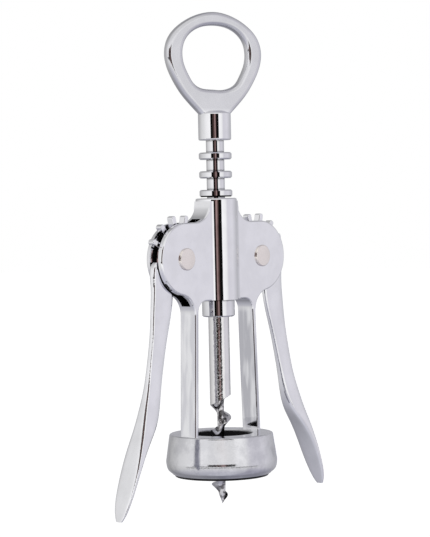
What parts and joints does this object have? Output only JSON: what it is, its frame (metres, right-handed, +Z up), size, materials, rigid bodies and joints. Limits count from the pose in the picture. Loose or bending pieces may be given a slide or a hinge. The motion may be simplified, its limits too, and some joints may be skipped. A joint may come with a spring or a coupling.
{
  "type": "lever corkscrew",
  "caption": "Wing corkscrew: ring handle on a round rack and auger screw, two geared levers, and a bell that sits on the bottle.",
  "frame": {"origin": "centre of the bell's lower rim, where the bottle's neck enters", "axes": "+Z up along the screw towards the ring handle, X is the direction the levers swing in, -Y is the front with the rivet heads"},
  "size_m": [0.1188, 0.0432, 0.1903],
  "materials": {
    "chrome_casting": "bright chrome plate on a zinc die casting",
    "chrome_turned": "bright chrome plate on a turned steel bar",
    "screw_steel": "nickel-plated steel, lightly drawn",
    "nickel_rivet": "satin nickel",
    "black_plastic": "moulded, fine matt"
  },
  "bodies": {
    "frame": {"frame": "chrome_casting", "bottle_seat": "black_plastic", "left_rivet": "nickel_rivet", "right_rivet": "nickel_rivet"},
    "left_lever": {"left_lever": "chrome_casting"},
    "right_lever": {"right_lever": "chrome_casting"},
    "rack": {"rack_sleeve": "chrome_turned"},
    "screw": {"ring_handle": "chrome_casting", "worm": "screw_steel"}
  },
  "joints": [
    {"name": "left_lever_swing", "type": "hinge", "parent": "frame", "child": "left_lever", "pos_m": [-0.022, 0, 0.0846], "axis": [0, 1, 0], "range_deg": [0, 112]},
    {"name": "right_lever_swing", "type": "hinge", "parent": "frame", "child": "right_lever", "pos_m": [0.022, 0, 0.0846], "axis": [0, -1, 0], "range_deg": [0, 112]},
    {"name": "rack_slide", "type": "slide", "parent": "frame", "child": "rack", "axis": [0, 0, -1], "range_m": [0, 0.032]},
    {"name": "screw_spin", "type": "hinge", "parent": "rack", "child": "screw", "pos_m": [0, 0, 0.1], "axis": [0, 0, -1], "continuous": true}
  ],
  "couplings": [
    {"joint": "right_lever_swing", "follows": "left_lever_swing", "ratio": 1},
    {"joint": "rack_slide", "follows": "left_lever_swing", "m_per_rad": 0.016178}
  ]
}
